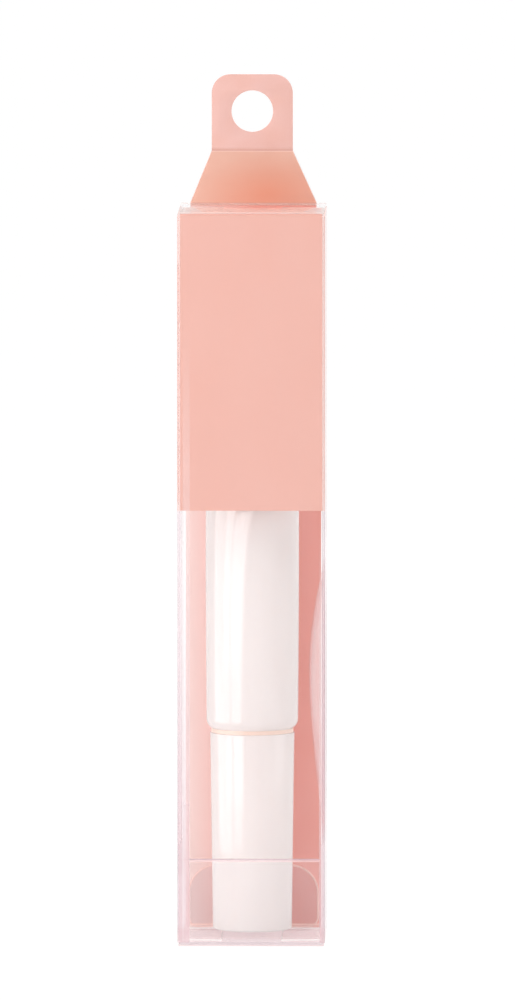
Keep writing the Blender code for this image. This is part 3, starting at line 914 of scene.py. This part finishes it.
def liner(plastic):
    """The liner inside the cap, with the thin rim that shows between the cap and the tube. The
    rim's upper side follows the tube's round corner."""
    low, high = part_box("cap_liner")
    points = [v.co for v in frame["nodes"]["cap_liner"].data.vertices]
    seat = min(point.z for point in points if point.z > low.z + MM)
    bore = min(math.hypot(p.x, p.y) for p in points if p.z > high.z - NEAR)
    stem_bore = min(math.hypot(p.x, p.y) for p in points if p.z < low.z + NEAR)
    mouth, top = cap_mouth()
    rim = mouth - LINER_RIM_INSET
    rim_low = top + LINER_RIM_GAP
    corner = (tube_radius() - TUBE_CORNER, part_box("tube_sleeve")[0].z + TUBE_CORNER)
    reach = TUBE_CORNER + LINER_RIM_GAP
    turn = math.degrees(math.asin((rim - corner[0]) / reach))
    under_tube = arc(corner, reach, turn - 90, -90, 6)
    profile = [
        (bore, under_tube[-1][1]),
        (bore, seat),
        (stem_bore, seat),
        (stem_bore, low.z),
        (radius_near("cap_liner", low.z, low.z + NEAR), low.z),
        (high.x, high.z),
        (high.x, rim_low),
        (rim, rim_low),
        *under_tube,
    ]
    stand_in(turned("cap_liner_moulded", profile, [plastic]), "cap_liner", "cap")


def brush(fibre):
    """The tuft as single bristles that leave the holder together, swell and meet in a point."""
    random.seed(7)
    low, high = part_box("brush_tuft")
    root = high.x * TUFT_ROOT
    belly = high.x - BRISTLE_RADIUS
    holder_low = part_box("brush_holder")[0].z
    shape = bmesh.new()
    golden = math.pi * (3 - math.sqrt(5))
    for i in range(BRISTLES):
        share = math.sqrt((i + 0.5) / BRISTLES)
        angle = golden * i
        uneven = random.uniform(0, BRISTLE_UNEVEN)
        tip = low.z + (high.z - low.z) * TUFT_TIP_ROUND * share + uneven
        lean = random.uniform(-BRISTLE_LEAN, BRISTLE_LEAN)
        rings = []
        for step in range(BRISTLE_STEPS + 1):
            height = high.z + (tip - high.z) * step / BRISTLE_STEPS
            free = max(0.0, (holder_low - height) / (holder_low - low.z))
            swell = math.sin(math.pi * min(1.0, free * TUFT_BELLY_REACH))
            spread = root + (belly - root) * swell - root * TUFT_POINT * free**3
            away = share * spread + lean * free
            thick = BRISTLE_RADIUS * (1 - BRISTLE_THINNING * free**2)
            centre = (away * math.cos(angle), away * math.sin(angle))
            points = arc(centre, thick, 0, 360, BRISTLE_SIDES)[:-1]
            rings.append([(x, y, height) for x, y in points])
        rows = skin(shape, rings)
        shape.faces.new(rows[0])
        shape.faces.new(rows[-1])
    tuft = piece_of("brush_bristles", shape, [fibre])
    stand_in(tuft, "brush_tuft", "tube")


def crease(name, axis, centres, low, high, materials):
    """The fold that joins two sheets across a joint: a bent strip."""
    piece = swept_sheet(name, centres, SHEET * FOLD_THINNING, axis, low, high, materials)
    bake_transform(piece)


def joint_place(name):
    """Where a joint is: X, Y and Z in metres."""
    return next(joint["pos_m"] for joint in frame["joints"] if joint["name"] == name)


def line_between(first, last, steps=6):
    """Even points from one to the other."""
    return [tuple(Vector(first).lerp(Vector(last), i / steps)) for i in range(steps + 1)]


def film_folds(film, low_film, tuck_film):
    """The folds of the clear sheet that joints turn on."""
    half = cad_box[1].x - SHEET
    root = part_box("bottom_tuck_flap")[1].x - TUCK_ROOT_CORNER
    walls_low, walls_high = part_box("carton_sleeve")
    _, y, z = joint_place("bottom_lid_hinge")
    line = line_between((y, walls_low.z + FOLD_TAIL), (y, z))
    crease("bottom_lid_fold", "X", line, -half, half, low_film)
    _, y, z = joint_place("bottom_tuck_crease")
    line = line_between((y, z), (y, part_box("bottom_tuck_flap")[0].z + FOLD_TAIL))
    crease("bottom_tuck_fold", "X", line, -root, root, tuck_film)
    _, y, z = joint_place("top_tuck_crease")
    line = line_between((y, z), (y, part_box("top_tuck_flap")[1].z - FOLD_TAIL))
    crease("top_tuck_fold", "X", line, -root, root, film)
    _, y, z = joint_place("top_lid_hinge")
    line = line_between((y, walls_high.z - FOLD_TAIL), (y, z))
    slot_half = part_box("hanger_neck")[1].x + NECK_SLOT_GAP
    for side, low, high in (("left", -half, -slot_half), ("right", slot_half, half)):
        crease("top_lid_fold_" + side, "X", line, low, high, film)
    for side, sign in (("left", -1), ("right", 1)):
        x, _, z = joint_place(f"dust_flap_{side}_crease")
        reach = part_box("top_dust_flap_" + side)[1].y - DUST_FLAP_TAPER - SHEET
        line = line_between((x + sign * DUST_FOLD_REACH, z), (x - sign * FOLD_TAIL, z))
        crease("top_dust_fold_" + side, "Y", line, -reach, reach, film)


def card_folds(card):
    """The folds at both ends of the hanger's neck."""
    _, y, z = joint_place("neck_crease")
    _, tab_y, tab_z = joint_place("tab_crease")
    upwards = Vector((0, 1))
    lean = Vector((tab_y - y, tab_z - z)).normalized()
    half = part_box("hanger_neck")[1].x
    line = [(y, z - SHEET), (y, z - SHEET / 2), *bent_line((y, z), upwards, lean, CARD_FOLD)]
    crease("neck_fold", "X", line, -half, half, card)
    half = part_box("hanger_tab")[1].x
    line = bent_line((tab_y, tab_z), lean, upwards, CARD_FOLD)
    crease("tab_fold", "X", line, -half, half, card)


def bent_line(corner, along_in, along_out, reach, steps=8):
    """A smooth bend round a corner, from the line that comes in to the line that goes out."""
    corner = Vector(corner)
    first = corner - along_in * reach
    last = corner + along_out * reach
    line = []
    for i in range(steps + 1):
        t = i / steps
        line.append(tuple(first * (1 - t) ** 2 + corner * 2 * t * (1 - t) + last * t**2))
    return line


def studio():
    """A pale floor and soft light all round, both white to the camera, and five soft lamps."""
    bpy.ops.mesh.primitive_plane_add(size=FLOOR_SIZE, location=(0, 0, 0))
    floor = bpy.context.object
    floor.name = "floor"
    nodes = Nodes("floor_finish")
    nodes.finish(Base_Color=srgb(250, 250, 250), Roughness=0.9)
    rays = nodes.add("ShaderNodeLightPath").outputs
    seen = nodes.math("ADD", rays["Is Camera Ray"], rays["Is Glossy Ray"])
    seen = nodes.math("MINIMUM", nodes.math("ADD", seen, rays["Is Transmission Ray"]), 1.0)
    glow = nodes.add("ShaderNodeEmission", {"Color": WHITE, "Strength": FLOOR_GLOW})
    nodes.show(nodes.math("MULTIPLY", seen, FLOOR_GLOW_SHARE), nodes.shader, glow)
    floor.data.materials.append(nodes.owner)

    around = Nodes("studio", world=True)
    bpy.context.scene.world = around.finish(Color=(1, 0.985, 0.98, 1), Strength=AMBIENT)
    rays = around.add("ShaderNodeLightPath").outputs
    seen = around.math("MAXIMUM", rays["Is Camera Ray"], rays["Is Transmission Ray"])
    mirrored_part = around.math("MULTIPLY", rays["Is Glossy Ray"], MIRRORED_WHITE)
    white = around.add("ShaderNodeBackground", {"Color": WHITE, "Strength": 1.0})
    around.show(around.math("MAXIMUM", seen, mirrored_part), around.shader, white)

    lamp("key", azimuth=-48, elevation=8, distance=0.45, width=0.46, height=0.3, level=0.43)
    lamp("side", azimuth=82, elevation=20, distance=0.6, width=0.4, height=0.6, level=0.2)
    lamp("top", azimuth=10, elevation=66, distance=0.6, width=0.6, height=0.4, level=0.46)
    back = lamp("back", azimuth=180, elevation=15, distance=0.8, width=0.6, height=0.5, level=0.35)
    back.visible_glossy = False
    gloss = lamp("gloss", azimuth=-65, elevation=4, distance=0.1, width=0.169, height=0.165, level=2)
    gloss.visible_diffuse = False


def aimed(name, data, aim, azimuth, elevation, distance):
    """A lamp or camera that looks at a point from two angles in degrees, where azimuth 0 is
    the front."""
    a = math.radians(azimuth)
    e = math.radians(elevation)
    away = Vector((math.sin(a) * math.cos(e), -math.cos(a) * math.cos(e), math.sin(e)))
    made = bpy.data.objects.new(name, data)
    bpy.context.scene.collection.objects.link(made)
    made.location = aim + away * distance
    made.rotation_euler = away.to_track_quat("Z", "Y").to_euler()
    return made


def lamp(name, azimuth, elevation, distance, width, height, level):
    """A soft lamp that looks at the middle of the object. At level 1 it alone shows a colour
    that faces it about as written."""
    light = bpy.data.lights.new(name, "AREA")
    light.shape = "RECTANGLE"
    light.size = width
    light.size_y = height
    light.energy = level * math.pi**2 * distance**2
    made = aimed(name, light, Vector((0, 0, AIM_HEIGHT)), azimuth, elevation, distance)
    made.visible_camera = False
    return made


def camera():
    """A long lens at the photograph's angle."""
    data = bpy.data.cameras.new("camera")
    data.sensor_width = SENSOR
    data.lens = SENSOR * CAMERA_DISTANCE / FRAME_HEIGHT
    data.clip_end = 100
    aim = Vector((AIM_RIGHT, cad_box[0].y, AIM_HEIGHT))
    bpy.context.scene.camera = aimed(
        "camera", data, aim, CAMERA_AZIMUTH, CAMERA_ELEVATION, CAMERA_DISTANCE
    )


def walls_film():
    """The film of the walls, with painted pink reflections of what lies beside it, and painted light
    in front of the strip left of the card.
    """
    print_low, print_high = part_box("front_print_film")
    card_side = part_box("back_card")[1].x
    inside = cad_box[1].x - 2 * SHEET
    front_wall = ("Y", -inside, -SHARP)
    low_down = ("Z", PINK_HEIGHT, -PINK_FADE)
    beside_print = [("Z", print_low.z, SHARP), ("side", print_high.x + SHARP, SHARP)]
    beside_card = [low_down, ("side", card_side, SHARP), front_wall]
    beside_rest = [low_down, ("side", inside, SHARP)]
    # Painted light: a paler veil in front of the card's left strip
    left_of_card = [
        ("Z", STRIP_HEIGHT, -STRIP_FADE),
        ("X", STRIP_WIDTH - card_side, -SHARP),
        ("X", -card_side, SHARP),
        front_wall,
    ]
    # Painted pink reflections, and last the painted light left of the card
    painted_pinks = (
        (srgb(250, 200, 191), 0.02, 0.75, beside_print),
        (srgb(226, 192, 198), 0.38, 0.3, beside_card),
        (srgb(226, 192, 198), 0.02, 0.6, beside_rest),
        (srgb(228, 196, 202), 0.36, 0.3, left_of_card),
    )
    return clear_sheet("carton_film_finish", srgb(222, 170, 176), 0.46, painted_pinks=painted_pinks)


def films():
    """The finishes of the carton's clear sheets."""
    # Painted pink reflection on the lid's front part
    lid_pink_reflection = (srgb(255, 226, 219), 0.1, 0.6, [("Y", LID_REFLECTION_FRONT, -SHARP)])
    rest_tint = (0.99, 0.99, 0.992, 1)
    tuck_tint = (0.93, 0.905, 0.915, 1)
    # The floor film's pink steep tint is painted reflection of the pink parts
    floor_tint = (0.87, 0.695, 0.72, 1)
    floor = clear_sheet("floor_film_finish", srgb(253, 222, 219), 0.2, 0.02, steep_tint=floor_tint)
    return {
        "walls": walls_film(),
        "rest": clear_sheet("rest_film_finish", srgb(252, 222, 220), 0.12, 0.035, rest_tint),
        "tuck": clear_sheet("tuck_film_finish", srgb(252, 226, 226), 0.3, 0.02, tuck_tint),
        "floor": floor,
        "dust": clear_sheet("dust_film_finish", srgb(250, 232, 232), 0.1, 0.02),
        "lid": clear_sheet("lid_film_finish", srgb(252, 248, 247), 0.05, 0.02, painted_pinks=(lid_pink_reflection,)),
    }


def lines():
    """The finishes of the clear sheets' folds and cut edges, painted highlights and dark lines: two
    colours and two shares each, and for the fold a colour above a height.
    """
    # The print's pink, painted where the fold beside it bends its light
    beside_print = (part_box("front_print_film")[0].z, srgb(230, 178, 167))
    kinds = {
        "fold": (srgb(206, 186, 194), srgb(216, 198, 206), 0.5, 0.62, beside_print),
        "faint_fold": (srgb(240, 228, 238), srgb(246, 238, 244), 0.12, 0.2),
        "low_fold": (srgb(214, 198, 203), srgb(222, 206, 211), 0.5, 0.65),
        "rim": (srgb(253, 218, 210), srgb(255, 226, 220), 0.6, 0.7),
        # The rest's lip: a painted dark line above a painted highlight
        "rest_lip": (srgb(196, 170, 180), srgb(206, 182, 190), 0.4, 0.55),
        "rest_lip_pale": (srgb(255, 218, 218), srgb(255, 226, 226), 0.3, 0.42),
        "clear_edge": (srgb(255, 205, 193), srgb(255, 212, 202), 0.85, 0.95),
        "faint_edge": (srgb(255, 226, 219), srgb(255, 234, 229), 0.3, 0.4),
        "dust_edge": (srgb(255, 242, 240), srgb(255, 248, 246), 0.3, 0.4),
    }
    return {kind: clear_line(kind + "_finish", *looks) for kind, looks in kinds.items()}


def cards():
    """The finishes of the printed card: its core, and each part with the light and shade that fall
    on it painted into its colour.
    """
    # Depth weighs this much, so that only the card's front face gets the painted light
    depth = 43
    side_place = (-12 * MM, depth * 12.1 * MM, 0)
    painted_side_light = (srgb(238, 210, 205), side_place, 13 * MM, (1, depth, 0), 1.0)
    # Painted light: the neck turns warm orange towards its middle
    painted_neck_light = (srgb(241, 165, 134), (2.5 * MM, 9 * MM, 131 * MM), 12 * MM, (1, 1, 1), 0.9)
    # Painted glows: emission for light that comes through the card near its folds
    card_light = (129.4 * MM, 126.5 * MM, 0.05)
    neck_light = (131 * MM, 139 * MM, 0.03)
    fold_light = (129 * MM, 132 * MM, 0.02)
    # Lit and shaded copies of one card: painted light and shade
    kinds = {
        "card": (srgb(243, 161, 150), srgb(241, 156, 144), painted_side_light, card_light),
        "neck": (srgb(241, 193, 173), srgb(239, 187, 166), painted_neck_light, neck_light),
        "tab": (srgb(225, 179, 171), srgb(224, 172, 160)),
        "fold": (srgb(223, 172, 160), srgb(221, 166, 152), None, fold_light),
    }
    made = {kind: pink_card(f"pink_{kind}_finish", *looks) for kind, looks in kinds.items()}
    return {"core": card_core(), **made}


def build():
    """Every piece with its finish, then the studio and the camera."""
    film, line, card = films(), lines(), cards()
    white, white_shade = srgb(237, 226, 224), srgb(234, 222, 220)
    tube_white = moulded("soft_tube_finish", white, white_shade, 0.08, 0.12, 0.02 * MM)
    cap_white = moulded("cap_finish", white, white_shade, 0.07, 0.1, 0.01 * MM)
    pale, pale_shade = srgb(240, 224, 216), srgb(236, 216, 206)
    natural = moulded("natural_finish", pale, pale_shade, 0.3, 0.42, 0.02 * MM)
    warm, warm_shade = srgb(228, 202, 190), srgb(224, 194, 180)
    # Painted light: the liner's glow lifts the shade in the gap between the cap and the tube
    liner_natural = moulded("liner_finish", warm, warm_shade, 0.3, 0.42, 0.02 * MM, 0.22)
    for node in ("tube_shoulder", "brush_holder"):
        dress(node, natural)
    dress("oil_fill", oil_finish())
    lid = (film["lid"], line["faint_edge"])
    carton_walls(film["walls"], line["fold"], line["faint_fold"], line["rim"])
    glue_lap((film["walls"], line["faint_fold"]))
    print_piece(printed_film())
    lids((film["floor"], line["faint_edge"]), lid)
    tuck_flaps((film["tuck"], line["clear_edge"]), lid)
    dust_flaps((film["dust"], line["dust_edge"]), lid)
    bent_rest((film["rest"], line["clear_edge"], line["rest_lip"], line["rest_lip_pale"]))
    card_behind((card["card"], card["core"]))
    hanger((card["neck"], card["core"]), (card["tab"], card["core"]))
    low_fold = (line["low_fold"], line["low_fold"])
    film_folds((film["lid"], line["faint_fold"]), low_fold, (film["tuck"], line["faint_edge"]))
    card_folds((card["fold"], card["core"]))
    soft_tube(tube_white)
    cap_piece(cap_white)
    liner(liner_natural)
    brush(nylon())
    studio()
    camera()


build()
bpy.context.scene.view_settings.view_transform = "Standard"
bpy.context.scene.cycles.transparent_max_bounces = 32
